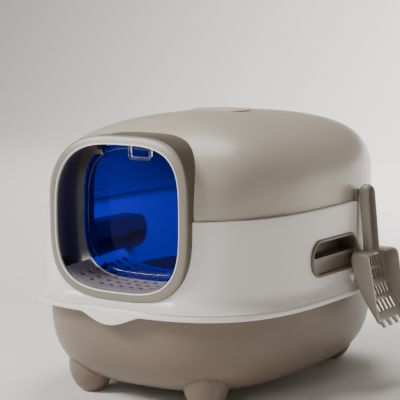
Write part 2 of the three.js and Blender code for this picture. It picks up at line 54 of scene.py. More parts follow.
HOOD_FOOT = FRAME_TOP + 0.3

BAND_HALF = 193
BAND_LONG = 246
BAND_FRONT = 237
FLANGE_HALF = 205
HOOD_HALF = 185.4
HOOD_LONG = 245.5
HOOD_TOP = 385
WALL = 3

GATE_N = 3.27
GATE_Z = 255.0
MOUTH_HALF = 98
MOUTH_TALL = 96
COLLAR_HALF = 110
COLLAR_TALL = 108
TUNNEL_HALF = 104
TUNNEL_TALL = 101
GATE_FACE = -244
LEAN_FROM = 265
LEAN_REACH = 98
LEAN_BACK = 14.5

DOOR_Y = -182.0
DOOR_Z = 257.5
DOOR_HALF = 97
DOOR_TALL = 91.5
DOOR_TAPER = 0.01237
PIVOT_Z = 342.5

GRIP_Y = 0.5
GRIP_Z = 192
VENT_Y = 14.0
SCOOP_Y = 86.0
STEP_FRONT = -237.6
STEP_DEEP = 133.6


# ---- mesh makers ------------------------------------------------------------
def spot(x, y, z):
    """A point of the frame from millimetres about the box's middle."""
    return Vector((MID_X + x * MM, MID_Y + y * MM, z * MM))


def mix(a, b, t):
    return a + (b - a) * t


def oval(a, b, n, count):
    """Evenly spaced points round a superellipse."""
    turn = np.linspace(0, 2 * math.pi, 2881)
    c = np.cos(turn)
    s = np.sin(turn)
    x = a * np.sign(c) * np.abs(c) ** (2 / n)
    y = b * np.sign(s) * np.abs(s) ** (2 / n)
    run = np.concatenate([[0], np.cumsum(np.hypot(np.diff(x), np.diff(y)))])
    at = np.linspace(0, run[-1], count, endpoint=False)
    return np.interp(at, run, x), np.interp(at, run, y)


def level_ring(a, b, n, z, front=1e6, count=240):
    """A level ring whose front can be pressed flat."""
    xs, ys = oval(a, b, n, count)
    return [(x, max(y, -front), z) for x, y in zip(xs, ys)]


def lean_at(z):
    """How far the gate's face falls back at a height."""
    return LEAN_BACK * (max(0.0, z - LEAN_FROM) / LEAN_REACH) ** 2


def gate_ring(half, tall, y, middle=GATE_Z, lean=0.0, count=176):
    """An upright ring across the gate. With a lean its head falls back like the gate's face."""
    xs, zs = oval(half, tall, GATE_N, count)
    ring = [(x, middle + z) for x, z in zip(xs, zs)]
    return [(x, y + lean * lean_at(z), z) for x, z in ring]


def piece_from(name, points, faces):
    mesh = bpy.data.meshes.new(name)
    mesh.from_pydata([spot(*p) for p in points], [], faces)
    work = bmesh.new()
    work.from_mesh(mesh)
    bmesh.ops.remove_doubles(work, verts=work.verts, dist=2e-6)
    bmesh.ops.recalc_face_normals(work, faces=work.faces)
    work.to_mesh(mesh)
    work.free()
    made = bpy.data.objects.new(name, mesh)
    bpy.context.scene.collection.objects.link(made)
    return made


def loft(name, rings, looped=False):
    """A skin over equal rings: closed into a loop, or capped at both ends."""
    count = len(rings[0])
    points = [p for ring in rings for p in ring]
    faces = []
    for i in range(len(rings) if looped else len(rings) - 1):
        j = (i + 1) % len(rings)
        for k in range(count):
            m = (k + 1) % count
            faces.append((i * count + k, i * count + m, j * count + m, j * count + k))
    if not looped:
        faces.append(tuple(range(count)))
        faces.append(tuple((len(rings) - 1) * count + k for k in range(count)))
    return piece_from(name, points, faces)


def rounded_outline(u0, u1, v0, v1, radius, steps=10):
    """Corners of a rectangle with round corners, anticlockwise."""
    corners = [(u1 - radius, v0 + radius, -90), (u1 - radius, v1 - radius, 0)]
    corners += [(u0 + radius, v1 - radius, 90), (u0 + radius, v0 + radius, 180)]
    line = []
    for u, v, start in corners:
        for i in range(steps + 1):
            turn = math.radians(start + 90 * i / steps)
            line.append((u + radius * math.cos(turn), v + radius * math.sin(turn)))
    return line


def prism(name, line, axis, low, high):
    """An outline pushed along X, Y or Z. The outline's pairs are the other two axes in order."""
    place = {
        "x": lambda u, v, w: (w, u, v),
        "y": lambda u, v, w: (u, w, v),
        "z": lambda u, v, w: (u, v, w),
    }[axis]
    return loft(name, [[place(u, v, w) for u, v in line] for w in (low, high)])


def block(name, x0, x1, y0, y1, z0, z1, radius=0.8):
    return prism(name, rounded_outline(y0, y1, z0, z1, radius, 4), "x", x0, x1)


def round_bar(name, axis, centre, radius, low, high, sides=32):
    turns = [2 * math.pi * i / sides for i in range(sides)]
    line = [(centre[0] + radius * math.cos(t), centre[1] + radius * math.sin(t)) for t in turns]
    return prism(name, line, axis, low, high)


def turned(name, profile, sides=96):
    """A piece turned about the vent's upright axis from (radius, height) pairs, closed on the axis."""
    turns = [2 * math.pi * i / sides for i in range(sides)]
    rings = [[(r * math.cos(t), VENT_Y + r * math.sin(t), z) for t in turns] for r, z in profile]
    return loft(name, rings)


def take_mesh(piece):
    """Applies the modifiers of a piece to its mesh."""
    graph = bpy.context.evaluated_depsgraph_get()
    mesh = bpy.data.meshes.new_from_object(piece.evaluated_get(graph))
    piece.modifiers.clear()
    piece.data = mesh


def carve(piece, *tools, how="DIFFERENCE"):
    """Cuts the tools out of a piece, or joins or crosses them with it, and drops the tools."""
    for tool in tools:
        change = piece.modifiers.new(how.lower(), "BOOLEAN")
        change.operation = how
        change.solver = "EXACT"
        change.object = tool
        take_mesh(piece)
        bpy.data.objects.remove(tool)
    return piece


def together(name, *parts):
    """One object from several meshes that don't touch."""
    work = bmesh.new()
    for part in parts:
        work.from_mesh(part.data)
        bpy.data.objects.remove(part)
    mesh = bpy.data.meshes.new(name)
    work.to_mesh(mesh)
    work.free()
    made = bpy.data.objects.new(name, mesh)
    bpy.context.scene.collection.objects.link(made)
    return made


def mirrored(piece, name):
    """The same piece on the other side of the box's middle plane."""
    mesh = piece.data.copy()
    mesh.transform(Matrix.Translation((2 * MID_X, 0, 0)) @ Matrix.Diagonal((-1, 1, 1, 1)))
    mesh.flip_normals()
    made = bpy.data.objects.new(name, mesh)
    bpy.context.scene.collection.objects.link(made)
    return made


def soften(piece, width, angle=38, segments=3):
    """Rounds the sharp edges of a moulded piece by a small radius."""
    edge = piece.modifiers.new("round", "BEVEL")
    edge.width = width * MM
    edge.segments = segments
    edge.limit_method = "ANGLE"
    edge.angle_limit = math.radians(angle)
    edge.miter_outer = "MITER_ARC"
    take_mesh(piece)
    return piece


def paint_mask(piece, name, rule):
    """Stores a 0 to 1 mask on a finished mesh, from a rule on millimetres about the box's middle."""
    layer = piece.data.attributes.new(name, "FLOAT", "POINT")
    for point, value in zip(piece.data.vertices, layer.data):
        x, y, z = point.co
        value.value = rule((x - MID_X) / MM, (y - MID_Y) / MM, z / MM)


def fit(piece, body, node, material, sharp=42):
    """Gives a finished piece its shading, material and body, and hides the CAD node that it stands in for.
    """
    piece.data.shade_smooth()
    piece.data.set_sharp_from_angle(angle=math.radians(sharp))
    piece.data.materials.clear()
    piece.data.materials.append(material)
    for face in piece.data.polygons:
        face.material_index = 0
    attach(piece, body)
    if node:
        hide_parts(node)
    return piece


# ---- shader groups ------------------------------------------------------------
def new_group(name, inputs, outputs):
    tree = bpy.data.node_groups.new(name, "ShaderNodeTree")
    for label, kind, value in inputs:
        socket = tree.interface.new_socket(label, in_out="INPUT", socket_type=kind)
        socket.default_value = value
    for label, kind in outputs:
        tree.interface.new_socket(label, in_out="OUTPUT", socket_type=kind)
    return tree, tree.nodes.new("NodeGroupInput"), tree.nodes.new("NodeGroupOutput")


def noise(tree, place, scale, detail=3.0, roughness=0.5):
    texture = tree.nodes.new("ShaderNodeTexNoise")
    texture.inputs["Detail"].default_value = detail
    texture.inputs["Roughness"].default_value = roughness
    tree.links.new(place, texture.inputs["Vector"])
    if isinstance(scale, (int, float)):
        texture.inputs["Scale"].default_value = scale
    else:
        tree.links.new(scale, texture.inputs["Scale"])
    return texture.outputs["Fac"]


def maths(tree, how, a, b, clamp=False):
    node = tree.nodes.new("ShaderNodeMath")
    node.operation = how
    node.use_clamp = clamp
    for socket, value in zip(node.inputs, (a, b)):
        if isinstance(value, (int, float)):
            socket.default_value = value
        else:
            tree.links.new(value, socket)
    return node.outputs[0]


def ranged(tree, value, low, high, out_low, out_high):
    node = tree.nodes.new("ShaderNodeMapRange")
    for socket, given in zip(list(node.inputs)[:5], (value, low, high, out_low, out_high)):
        if isinstance(given, (int, float)):
            socket.default_value = given
        else:
            tree.links.new(given, socket)
    return node.outputs[0]


def blend_colour(tree, factor, a, b):
    node = tree.nodes.new("ShaderNodeMix")
    node.data_type = "RGBA"
    tree.links.new(factor, node.inputs[0])
    for socket, value in ((node.inputs[6], a), (node.inputs[7], b)):
        if isinstance(value, tuple):
            socket.default_value = value
        else:
            tree.links.new(value, socket)
    return node.outputs[2]


def own_place(tree):
    return tree.nodes.new("ShaderNodeTexCoord").outputs["Object"]


def make_mould_grain():
    """Fine spark texture of an injection mould, with a slow orange-peel swell under it."""
    inputs = [("Grain Scale", "NodeSocketFloat", 2600.0), ("Swell Scale", "NodeSocketFloat", 34.0)]
    inputs.append(("Swell", "NodeSocketFloat", 0.25))
    tree, given, out = new_group("mould grain", inputs, [("Height", "NodeSocketFloat")])
    place = own_place(tree)
    fine = noise(tree, place, given.outputs["Grain Scale"], 2.0, 0.6)
    slow = noise(tree, place, given.outputs["Swell Scale"], 1.0, 0.4)
    height = maths(tree, "ADD", fine, maths(tree, "MULTIPLY", slow, given.outputs["Swell"]))
    tree.links.new(height, out.inputs["Height"])
    return tree


def make_plastic_tone():
    """Colour of a moulded plastic: slow drift in tone, paler worn edges and a little settled dust."""
    colour = "NodeSocketColor"
    number = "NodeSocketFloat"
    inputs = [
        ("Colour", colour, (0.5, 0.5, 0.5, 1)),
        ("Worn Colour", colour, (0.7, 0.7, 0.7, 1)),
        ("Dust Colour", colour, (0.62, 0.58, 0.53, 1)),
        ("Drift", number, 0.06),
        ("Wear", number, 0.3),
        ("Dust", number, 0.1),
    ]
    tree, given, out = new_group("plastic tone", inputs, [("Colour", colour), ("Dust Mask", number)])
    place = own_place(tree)
    patch = noise(tree, place, 5.0, 3.0, 0.55)
    drift = tree.nodes.new("ShaderNodeHueSaturation")
    swing = ranged(tree, patch, 0.3, 0.7, -1.0, 1.0)
    value = maths(tree, "ADD", 1.0, maths(tree, "MULTIPLY", swing, given.outputs["Drift"]))
    tree.links.new(value, drift.inputs["Value"])
    tree.links.new(given.outputs["Colour"], drift.inputs["Color"])
    shape = tree.nodes.new("ShaderNodeNewGeometry")
    edge = ranged(tree, shape.outputs["Pointiness"], 0.52, 0.6, 0.0, 1.0)
    chips = ranged(tree, noise(tree, place, 160.0, 3.0, 0.7), 0.42, 0.62, 0.15, 1.0)
    wear = maths(tree, "MULTIPLY", maths(tree, "MULTIPLY", edge, chips), given.outputs["Wear"], True)
    worn = blend_colour(tree, wear, drift.outputs["Color"], given.outputs["Worn Colour"])
    split = tree.nodes.new("ShaderNodeSeparateXYZ")
    tree.links.new(shape.outputs["Normal"], split.inputs[0])
    upward = ranged(tree, split.outputs["Z"], 0.35, 1.0, 0.0, 1.0)
    specks = ranged(tree, noise(tree, place, 42.0, 3.0, 0.5), 0.3, 0.9, 0.0, 1.0)
    dust = maths(tree, "MULTIPLY", maths(tree, "MULTIPLY", upward, specks), given.outputs["Dust"], True)
    tree.links.new(blend_colour(tree, dust, worn, given.outputs["Dust Colour"]), out.inputs["Colour"])
    tree.links.new(dust, out.inputs["Dust Mask"])
    return tree


def make_hand_sheen():
    """Roughness of a handled surface: broad smudges, small uneven spots and dull dust."""
    number = "NodeSocketFloat"
    inputs = [("Roughness", number, 0.4), ("Smudge", number, 0.06), ("Dust Mask", number, 0.0)]
    tree, given, out = new_group("hand sheen", inputs, [("Roughness", number)])
    place = own_place(tree)
    smears = ranged(tree, noise(tree, place, 9.0, 1.0, 0.4), 0.15, 0.85, -1.0, 1.0)
    fine = ranged(tree, noise(tree, place, 60.0, 1.0, 0.4), 0.15, 0.85, -0.3, 0.3)
    swing = maths(tree, "MULTIPLY", maths(tree, "ADD", smears, fine), given.outputs["Smudge"])
    dull = maths(tree, "MULTIPLY", given.outputs["Dust Mask"], 0.5)
    total = maths(tree, "ADD", maths(tree, "ADD", given.outputs["Roughness"], swing), dull, True)
    tree.links.new(total, out.inputs["Roughness"])
    return tree


MOULD_GRAIN = make_mould_grain()
PLASTIC_TONE = make_plastic_tone()
HAND_SHEEN = make_hand_sheen()


def placed(tree, group, **values):
    node = tree.nodes.new("ShaderNodeGroup")
    node.node_tree = group
    for name, value in values.items():
        node.inputs[name.replace("_", " ")].default_value = value
    return node


def new_material(name):
    material = bpy.data.materials.new(name)
    material.use_nodes = True
    return material, material.node_tree, material.node_tree.nodes["Principled BSDF"]


def tint(r, g, b):
    """A display colour from 0 to 255 as linear light."""
    def line(v):
        v /= 255
        return v / 12.92 if v <= 0.04045 else ((v + 0.055) / 1.055) ** 2.4
    return (line(r), line(g), line(b), 1.0)


def moulded(name, colour, worn, roughness, wear=0.3, dust=0.08, drift=0.04, grain=0.02, smudge=0.03):
    """A satin injection-moulded plastic."""
    material, tree, skin = new_material(name)
    tone = placed(tree, PLASTIC_TONE, Colour=colour, Worn_Colour=worn, Wear=wear, Dust=dust, Drift=drift)
    sheen = placed(tree, HAND_SHEEN, Roughness=roughness, Smudge=smudge)
    tree.links.new(tone.outputs["Dust Mask"], sheen.inputs["Dust Mask"])
    height = placed(tree, MOULD_GRAIN)
    bump = tree.nodes.new("ShaderNodeBump")
    bump.inputs["Strength"].default_value = grain
    bump.inputs["Distance"].default_value = 0.0004
    tree.links.new(height.outputs["Height"], bump.inputs["Height"])
    tree.links.new(tone.outputs["Colour"], skin.inputs["Base Color"])
    tree.links.new(sheen.outputs["Roughness"], skin.inputs["Roughness"])
    tree.links.new(bump.outputs["Normal"], skin.inputs["Normal"])
    return material


def masked_colour(material, mask, colour):
    """Lays a second colour over a moulded material where a painted mask says so."""
    tree = material.node_tree
    skin = tree.nodes["Principled BSDF"]
    under = skin.inputs["Base Color"].links[0].from_socket
    painted = tree.nodes.new("ShaderNodeAttribute")
    painted.attribute_name = mask
    tree.links.new(blend_colour(tree, painted.outputs["Fac"], under, colour), skin.inputs["Base Color"])


def coat_where(material, mask, weight):
    """A glossy coat where a painted mask says so."""
    tree = material.node_tree
    painted = tree.nodes.new("ShaderNodeAttribute")
    painted.attribute_name = mask
    skin = tree.nodes["Principled BSDF"]
    tree.links.new(maths(tree, "MULTIPLY", painted.outputs["Fac"], weight), skin.inputs["Coat Weight"])
    skin.inputs["Coat Roughness"].default_value = 0.08


def see_through(name, colour, roughness, ior, smudge, gloss):
    """A clear or tinted plastic with faint smears on its gloss."""
    material, tree, skin = new_material(name)
    sheen = placed(tree, HAND_SHEEN, Roughness=roughness, Smudge=smudge)
    tree.links.new(sheen.outputs["Roughness"], skin.inputs["Roughness"])
    skin.inputs["Base Color"].default_value = colour
    skin.inputs["Metallic"].default_value = 0.0
    skin.inputs["Transmission Weight"].default_value = 1.0
    skin.inputs["IOR"].default_value = ior
    skin.inputs["Specular IOR Level"].default_value = gloss
    return material


def make_brushed_pin():
    material, tree, skin = new_material("brushed pin steel")
    turn = tree.nodes.new("ShaderNodeMapping")
    turn.inputs["Scale"].default_value = (1.0, 60.0, 60.0)
    tree.links.new(own_place(tree), turn.inputs["Vector"])
    lines = noise(tree, turn.outputs["Vector"], 40.0, 3.0, 0.6)
    tree.links.new(ranged(tree, lines, 0.3, 0.7, 0.24, 0.42), skin.inputs["Roughness"])
    shades = blend_colour(tree, lines, tint(168, 169, 170), tint(202, 203, 204))
    tree.links.new(shades, skin.inputs["Base Color"])
    skin.inputs["Metallic"].default_value = 1.0
    return material


def make_carbon_felt():
    material, tree, skin = new_material("carbon felt")
    place = own_place(tree)
    fibres = noise(tree, place, 700.0, 6.0, 0.75)
    clumps = noise(tree, place, 90.0, 3.0, 0.6)
    shades = blend_colour(tree, maths(tree, "MULTIPLY", fibres, clumps), tint(14, 14, 15), tint(74, 74, 76))
    tree.links.new(shades, skin.inputs["Base Color"])
    bump = tree.nodes.new("ShaderNodeBump")
    bump.inputs["Strength"].default_value = 0.8
    bump.inputs["Distance"].default_value = 0.0012
    tree.links.new(maths(tree, "ADD", fibres, clumps), bump.inputs["Height"])
    tree.links.new(bump.outputs["Normal"], skin.inputs["Normal"])
    skin.inputs["Roughness"].default_value = 0.95
    skin.inputs["Sheen Weight"].default_value = 0.25
    return material


HOOD_TAUPE = moulded("hood taupe", tint(186, 175, 160), tint(212, 203, 190), 0.3, wear=0.25)
GATE_TAUPE = moulded("gate taupe", tint(136, 128, 115), tint(224, 216, 204), 0.3, wear=0.35, dust=0.06)
TRAY_TAUPE = moulded("tray taupe", tint(124, 109, 95), tint(160, 147, 132), 0.36, dust=0.1)
BAND_WHITE = moulded(
    "band white", tint(244, 240, 236), tint(250, 248, 245), 0.3, wear=0.2, dust=0.05, drift=0.02
)
GRIP_BROWN = moulded("grip brown", tint(108, 94, 81), tint(142, 129, 116), 0.36, wear=0.35, dust=0.05)
STEP_GREY = moulded("step grey", tint(146, 138, 142), tint(182, 175, 176), 0.36, dust=0.14)
CAP_TAUPE = moulded("cap taupe", tint(198, 187, 172), tint(226, 218, 206), 0.34, wear=0.25)
SCOOP_TAUPE = moulded("scoop taupe", tint(160, 150, 138), tint(222, 213, 200), 0.3, wear=0.6, dust=0.04)
DOOR_BLUE = see_through("door blue", (0.001, 0.005, 0.66, 1), 0.04, 1.15, 0.015, 0.1)
HANGER_CLEAR = see_through("hanger clear", (0.86, 0.9, 0.96, 1), 0.06, 1.49, 0.02, 0.6)
# Painted shade: the tunnel's inside is darkened in its colour for the shade it lies in.
masked_colour(GATE_TAUPE, "tunnel_painted_shade", tint(42, 39, 44))
# Painted shade: the collar's outer wall behind the gate's face is darkened in its colour for the shade the
# face casts on it.
masked_colour(GATE_TAUPE, "collar_painted_shade", tint(98, 88, 74))
# Pale line painted round the mouth's inner edge: partly a painted highlight on the rounded lip, partly pale
# wear.
masked_colour(GATE_TAUPE, "lip_highlight_and_wear", tint(246, 242, 236))
coat_where(DOOR_BLUE, "rim_gloss", 0.6)
PIN_STEEL = make_brushed_pin()
CARBON_FELT = make_carbon_felt()


# ---- tray and feet ------------------------------------------------------------
def bowl_ring(turn, inset, top=134.4, count=240):
    out = (1 - (1 - turn) ** 3.11) ** (1 / 3.11)
    a = mix(55, 194, out) - inset
    b = mix(102, 241, out) - inset
    return level_ring(a, b, 2.79, mix(13 + inset, top, turn), count=count)


def make_tray():
    turns = [(i / 30) ** 2.2 for i in range(31)]
    rings = [bowl_ring(t, 0) for t in turns if t * 121 + 13 < 131]
    rim = [(194.2, 131.3), (199.4, 131.3), (200, 131.8), (200, 133.9), (199.4, 134.4), (191.5, 134.4)]
    for a, z in rim:
        out = (a - 191) / 9
        rings.append(level_ring(a, a + mix(47, 52, out), mix(2.79, 3.14, out), z))
    rings += [bowl_ring(t, WALL) for t in reversed(turns) if t < 0.99]
    return loft("lower_tray_bowl", rings)


def make_foot(name, x, y):
    """A rounded bulb under the bowl, on a small flat sole."""
    rings = []
    for z in (0, 0.25, 0.7, 1.4, 2.4, 4, 6, 8.5, 12, 16, 20, 25, 31, 38, 44, 50, 56, 62):
        swell = (1 - max(0.0, 1 - z / 38) ** 1.7) ** 0.6
        half = mix(10, 31.5, swell) - 6 * (max(0.0, z - 38) / 24) ** 2
        xs, ys = oval(half, half, 2.17, 72)
        rings.append([(x + u, y + v, z) for u, v in zip(xs, ys)])
    tub = loft("tub", [bowl_ring((i / 16) ** 2, -0.3, count=160) for i in range(17)])
    return carve(loft(name, rings), tub)


# ---- mid frame ------------------------------------------------------------
def flare_at(turn):
    return (1 - turn) ** 2.6


def tongue_push(ring, weight):
    """Draws the flange's front edge down into the hanging pull tongue."""
    pushed = []
    for x, y, z in ring:
        side = (x + 2) / 47
        if y < 0 and abs(side) < 1 and weight:
            lobe = weight * math.cos(math.pi / 2 * side) ** 1.3
            pushed.append((x, y - 3.3 * lobe, z - 13.1 * lobe))
        else:
            pushed.append((x, y, z))
    return pushed


def gate_plug():
    """The room that the band and the hood leave round the gate's collar."""
    return loft("plug", [gate_ring(COLLAR_HALF + 0.3, COLLAR_TALL + 0.3, y) for y in (-262, -140)])


def make_mid_frame():
    count = 480
    lip = [(202.4, 131.7, 1), (202.9, 131.1, 1), (203.6, 131, 1), (204.5, 131.3, 1), (204.9, 132, 0.96)]
    lip += [(205, 133, 0.6), (205, 134, 0.28), (205, 135, 0.02), (205, 135.6, 0), (204.8, 136.4, 0)]
    lip += [(204.2, 137.1, 0), (203.3, 137.5, 0), (202.6, 137.4, 0), (202.1, 137.0, 0), (201.6, 137.5, 0)]
    rings = [tongue_push(level_ring(a, a + 52, 3.14, z, count=count), weight) for a, z, weight in lip]
    for turn in (0.04, 0.07, 0.11, 0.16, 0.22, 0.3, 0.4, 0.52, 0.66, 0.82, 1.0):
        flare = flare_at(turn)
        a = mix(BAND_HALF, FLANGE_HALF, flare) if turn > 0.04 else 201
        front = mix(BAND_FRONT, 257, flare)
        long = a + mix(53, 52, flare)
        rings.append(level_ring(a, long, mix(3.0, 3.14, flare), mix(138, 160, turn), front, count))
    wall = [(193, 180), (193, 210), (193, 240), (193, 256.4), (192.8, 257.2), (192.3, 257.75), (191.6, 258)]
    ledge = [(179.2, 258), (178.7, 257.8), (178.5, 257.3), (178.5, 255.4), (179.2, 255)]
    inner = [(190, 255), (190, 200), (190, 135.4)]
    for a, z in wall + ledge + inner:
        long = 53 if a > 186 else 60.5
        front = BAND_FRONT - (BAND_HALF - a) if a > 186 else 1e6
        rings.append(level_ring(a, a + long, 3.0, z, front, count))
    rings.append(level_ring(202.3, 254.3, 3.14, 134.8, count=count))
    band = loft("mid_frame_band", rings, looped=True)
    liner = block("liner", 179.5, 189, 67, 117, 147, 257.9, 2)
    inside = loft("inside", [level_ring(192.9, 245.9, 3.0, z, count=120) for z in (140, 257.95)])
    carve(liner, inside, how="INTERSECT")
    niche = block("niche", 182.5, 215, 70, 114, 150, 262, 2.5)
    hole = prism("hole", grip_outline(-0.9), "x", 170, 215)
    other = mirrored(hole, "other hole")
    rib = soften(prism("rib", rounded_outline(51.5, 57, 139, 158.5, 2.7), "x", 191, 197), 0.8)
    carve(band, liner, rib, how="UNION")
    return carve(band, niche, gate_plug(), hole, other)


# ---- side grips ------------------------------------------------------------
def grip_outline(grow, steps=14):
    u = 66.5 + grow
    v = 25.75 + grow
    return rounded_outline(GRIP_Y - u, GRIP_Y + u, GRIP_Z - v, GRIP_Z + v, 24 + grow, steps)


def make_grip():
    """Stadium insert: round bezel, deep finger pocket above, smooth panel below, open behind the panel."""
    bezel = [(0, 193.3), (0, 194.3), (-0.5, 195.2), (-1.4, 195.6), (-3.2, 195.6), (-4.2, 195.1)]
    bezel += [(-4.6, 194.2), (-4.9, 191.2)]
    rings = [[(x, u, v) for u, v in grip_outline(grow)] for grow, x in bezel]
    back = [[(x, u, v) for u, v in grip_outline(grow)] for grow, x in ((-1.3, 166), (-1.3, 193.3))]
    insert = loft("grip_insert", back + rings)
    pocket = prism("pocket", [(u, max(v, 192.6)) for u, v in grip_outline(-3.9)], "x", 168.6, 192)
    room = prism("room", [(u, min(v, 190)) for u, v in grip_outline(-3.9)], "x", 160, 188.5)
    carve(insert, pocket, room)
    return soften(insert, 0.7, 40)


# ---- hood ------------------------------------------------------------
def dome_ring(rise, inset, count=240):
    """A level ring of the dome: its front slopes back further than its rear."""
    a = HOOD_HALF * (1 - rise ** 3.03) ** (1 / 1.81) - inset
    rear = HOOD_LONG * (1 - rise ** 7.68) ** (1 / 1.54) - inset
    front = HOOD_LONG * (1 - rise ** 2) ** 0.31 - inset
    z = mix(HOOD_FOOT, HOOD_TOP - inset, rise)
    ring = level_ring(a, rear, mix(2.97, 3.77, rise), z, count=count)
    return [(x, max(y * (front / rear if y < 0 else 1), inset - BAND_FRONT), z) for x, y, z in ring]


def make_hood():
    rises = [1 - (1 - i / 44) ** 1.9 for i in range(43)]
    rings = [level_ring(184.9, 245, 2.97, HOOD_FOOT, 236.5)]
    rings += [level_ring(185.3, 245.4, 2.97, HOOD_FOOT + 0.4, 236.9)]
    rings += [dome_ring(r, 0) for r in rises[1:]]
    inner = [dome_ring(r, WALL) for r in reversed(rises[1:])]
    spigot = [(182.2, 261), (174, 261), (174, 250.4), (174.5, 250), (176, 250), (176.5, 250.5)]
    shelf = [level_ring(a, a + 60.1, 2.97, z, 235) for a, z in spigot + [(176.5, HOOD_FOOT)]]
    shell = loft("hood_dome", inner + shelf + rings)
    carve(shell, round_bar("seat", "z", (0, VENT_Y), 45, 378.6, 381.4, 96), how="UNION")
    recess = round_bar("recess", "z", (0, VENT_Y), 42.7, 381.4, 400, 128)
    hole = round_bar("hole", "z", (0, VENT_Y), 36.5, 360, 400, 96)
    return carve(shell, gate_plug(), recess, hole)


# ---- gate, step and door ------------------------------------------------------------
def gate_face_ring(across, y, lean=1.0):
    """A ring between the mouth's edge (0) and the collar's edge (1)."""
    half = mix(MOUTH_HALF, COLLAR_HALF, across)
    return gate_ring(half, mix(MOUTH_TALL, COLLAR_TALL, across), y, lean=lean)


def make_portal():
    face = [(0, -239.5), (0, -243.1), (0.015, -243.6), (0.06, -244), (0.11, -244), (0.16, -243.75)]
    face += [(0.2, -243.4), (0.3, -243.4), (0.5, -243.2), (0.7, -242.9), (0.86, -242.3), (0.93, -241.9)]
    face += [(0.97, -241.4), (0.993, -240.8), (1, -240.1), (1, -238.5)]
    rings = [gate_face_ring(across, y) for across, y in face]
    rings += [gate_face_ring(1, -212, 0.5), gate_face_ring(1, -185, 0), gate_face_ring(1, -158.8, 0)]
    rings += [gate_face_ring(0.98, -158, 0)]
    tail = [(3.9, 4.9, -158), (3.6, 4.6, -157.4), (3.6, 4.6, -151), (3, 4, -150), (0.6, 0.6, -150)]
    inner = [(0, 0, -151, 0), (0, 0, -180, 0), (0, 0, -208, 0.5), (0, 0, -236.6, 1), (-1, -1, -237.8, 1)]
    inner += [(-4.8, -3.8, -238.1, 1), (-5.6, -4.6, -238.5, 1)]
    for wider, taller, y, lean in [(*ring, 0) for ring in tail] + inner:
        rings.append(gate_ring(TUNNEL_HALF + wider, TUNNEL_TALL + taller, y, lean=lean))
    tunnel = loft("gate_collar_and_tunnel", rings, looped=True)
    for sense in (-1, 1):
        low, high = sorted((64 * sense, 72 * sense))
        boss = block("boss", low, high, DOOR_Y - 5, DOOR_Y + 5, PIVOT_Z - 5, PIVOT_Z + 6, 3)
        soften(boss, 0.5)
        carve(boss, round_bar("bore", "x", (DOOR_Y, PIVOT_Z), 2.3, low - 1, high + 1))
        carve(tunnel, boss, how="UNION")
    return tunnel


def outwards(u, v):
    """How far out a point lies in the gate's kind of oval, where 1 is the oval itself."""
    return (abs(u) ** GATE_N + abs(v) ** GATE_N) ** (1 / GATE_N)


def beyond_mouth(x, z):
    """How far a point lies outside the mouth's edge, as a share of the mouth."""
    return outwards(x / MOUTH_HALF, (z - GATE_Z) / MOUTH_TALL) - 1


def behind_face(y, z):
    """How far a point lies behind the leaning face of the gate."""
    return y - GATE_FACE - lean_at(z)


# Mask of the pale line round the mouth's edge: a painted highlight on the lip together with its wear.
def lip_highlight_and_wear(x, y, z):
    return 1.0 if behind_face(y, z) < 1.5 and beyond_mouth(x, z) < 0.014 else 0.0


# Mask of the painted shade on the collar's outer wall, fading in behind the gate's face.
def collar_painted_shade(x, y, z):
    return min(1.0, max(0.0, (behind_face(y, z) - 3.4) / 1.2)) if beyond_mouth(x, z) > 0.09 else 0.0


# Mask of the painted shade inside the tunnel.
def tunnel_painted_shade(x, y, z):
    return 1.0 if behind_face(y, z) > 5.6 and beyond_mouth(x, z) < 0.068 else 0.0


def rim_gloss(x, y, z):
    return 1.0 if outwards(x / DOOR_HALF, (z - DOOR_Z) / DOOR_TALL) > 0.885 else 0.0


def make_step():
    """Perforated trough that climbs a little inwards."""
    limit = math.acos((86 / 100.2) ** (GATE_N / 2))
    rings = []
    for y in np.linspace(STEP_FRONT, STEP_FRONT + STEP_DEEP, 24):
        z = GATE_Z + 7 * (y - STEP_FRONT) / STEP_DEEP
        row = []
        for half, tall, order in ((100.2, 94, range(73)), (102.6, 96.4, range(72, -1, -1))):
            for j in order:
                turn = mix(-math.pi + limit, -limit, j / 72)
                c = math.cos(turn)
                s = math.sin(turn)
                x = half * math.copysign(abs(c) ** (2 / GATE_N), c)
                row.append((x, y, z + tall * math.copysign(abs(s) ** (2 / GATE_N), s)))
        rings.append(row)
    plate = loft("step_trough", rings)
    drills = [round_bar("drill", "z", (-72 + 16 * column, -218 + 16 * row), 4, 150, 200, 28)
              for row in range(7) for column in range(10)]
    carve(plate, together("drills", *drills))
    return soften(plate, 0.35, 50, 2)


def door_ring(inset, y):
    """The door's outline, a little wider at its foot than at its head."""
    ring = gate_ring(DOOR_HALF - inset, DOOR_TALL - inset, y, DOOR_Z)
    return [(x * (1 - DOOR_TAPER * (z - DOOR_Z) / DOOR_TALL), y, z) for x, y, z in ring]


def make_door():
    """Swing door: thick rolled rim, thin panel, two hinge lugs."""
    profile = [(0, -1.2), (0.15, -2.1), (0.7, -2.75), (1.6, -3), (7.2, -3), (8.4, -2.8), (9.1, -2.2)]
    profile += [(9.5, -1.3), (12, -1.3), (30, -1.3)]
    rings = [door_ring(i, DOOR_Y - y) for i, y in reversed(profile)]
    rings += [door_ring(i, DOOR_Y + y) for i, y in profile]
    door = loft("flap_door_pane", rings)
    for sense in (-1, 1):
        low, high = sorted((63 * sense, 100 * sense))
        room = block("room", low, high, DOOR_Y - 8, DOOR_Y + 8, PIVOT_Z - 11, PIVOT_Z + 12, 1)
        carve(door, room)
        low, high = sorted((56 * sense, 63 * sense))
        lug = block("lug", low, high, DOOR_Y - 4.4, DOOR_Y + 4.4, PIVOT_Z - 10, PIVOT_Z + 4.4, 3.5)
        carve(door, soften(lug, 0.5), how="UNION")
        low, high = sorted((55 * sense, 66 * sense))
        carve(door, round_bar("bore", "x", (DOOR_Y, PIVOT_Z), 2.5, low, high))
    return door


